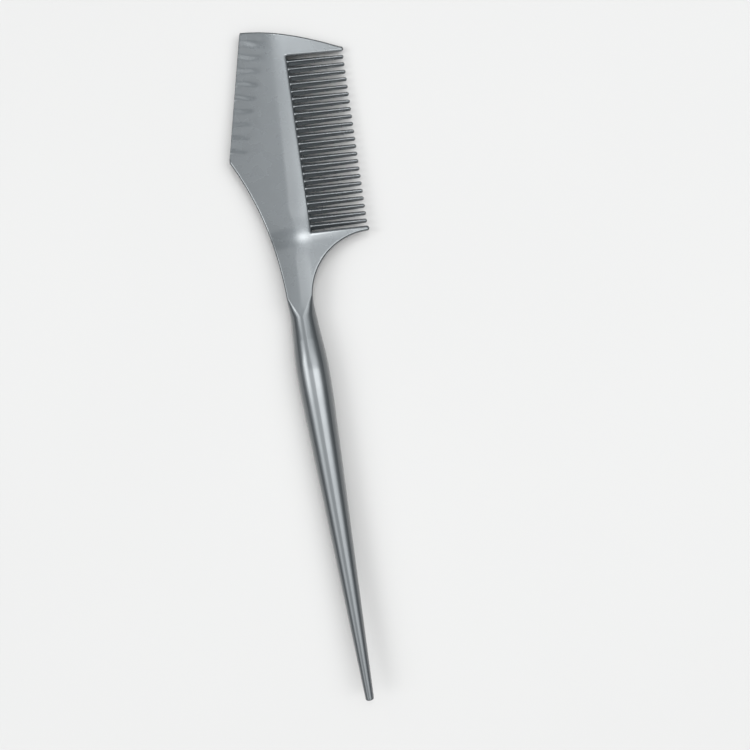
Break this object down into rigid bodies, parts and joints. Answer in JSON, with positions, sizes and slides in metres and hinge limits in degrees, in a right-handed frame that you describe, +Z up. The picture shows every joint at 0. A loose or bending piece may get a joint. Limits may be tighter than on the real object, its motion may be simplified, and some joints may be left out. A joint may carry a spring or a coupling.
{
  "type": "hair tint brush body",
  "caption": "One-piece plastic hair tinting tool: flat blade with a straight bristle edge, a fine comb along the other side and a round tapered rat tail handle",
  "frame": {"origin": "bottom centre of the whole body as it lies flat: the underside of the grip in height, the middle of the overall length and width", "axes": "+Y runs along the handle from the tail to the head, +X is across, the way the comb teeth point, +Z is up out of the blade's face"},
  "size_m": [0.0424, 0.2194, 0.0106],
  "materials": {
    "pearl_plastic": "glossy silver-grey pearl plastic, moulded in colour"
  },
  "bodies": {
    "root": {"tail_tip": "pearl_plastic", "tail": "pearl_plastic", "grip": "pearl_plastic", "neck": "pearl_plastic", "blade": "pearl_plastic", "bristle_rail": "pearl_plastic", "comb_spine": "pearl_plastic", "upper_guard": "pearl_plastic", "lower_guard": "pearl_plastic", "tooth_01": "pearl_plastic", "tooth_02": "pearl_plastic", "tooth_03": "pearl_plastic", "tooth_04": "pearl_plastic", "tooth_05": "pearl_plastic", "tooth_06": "pearl_plastic", "tooth_07": "pearl_plastic", "tooth_08": "pearl_plastic", "tooth_09": "pearl_plastic", "tooth_10": "pearl_plastic", "tooth_11": "pearl_plastic", "tooth_12": "pearl_plastic", "tooth_13": "pearl_plastic", "tooth_14": "pearl_plastic", "tooth_15": "pearl_plastic", "tooth_16": "pearl_plastic", "tooth_17": "pearl_plastic", "tooth_18": "pearl_plastic", "tooth_19": "pearl_plastic", "tooth_20": "pearl_plastic", "tooth_21": "pearl_plastic", "tooth_22": "pearl_plastic", "tooth_23": "pearl_plastic"}
  },
  "joints": []
}
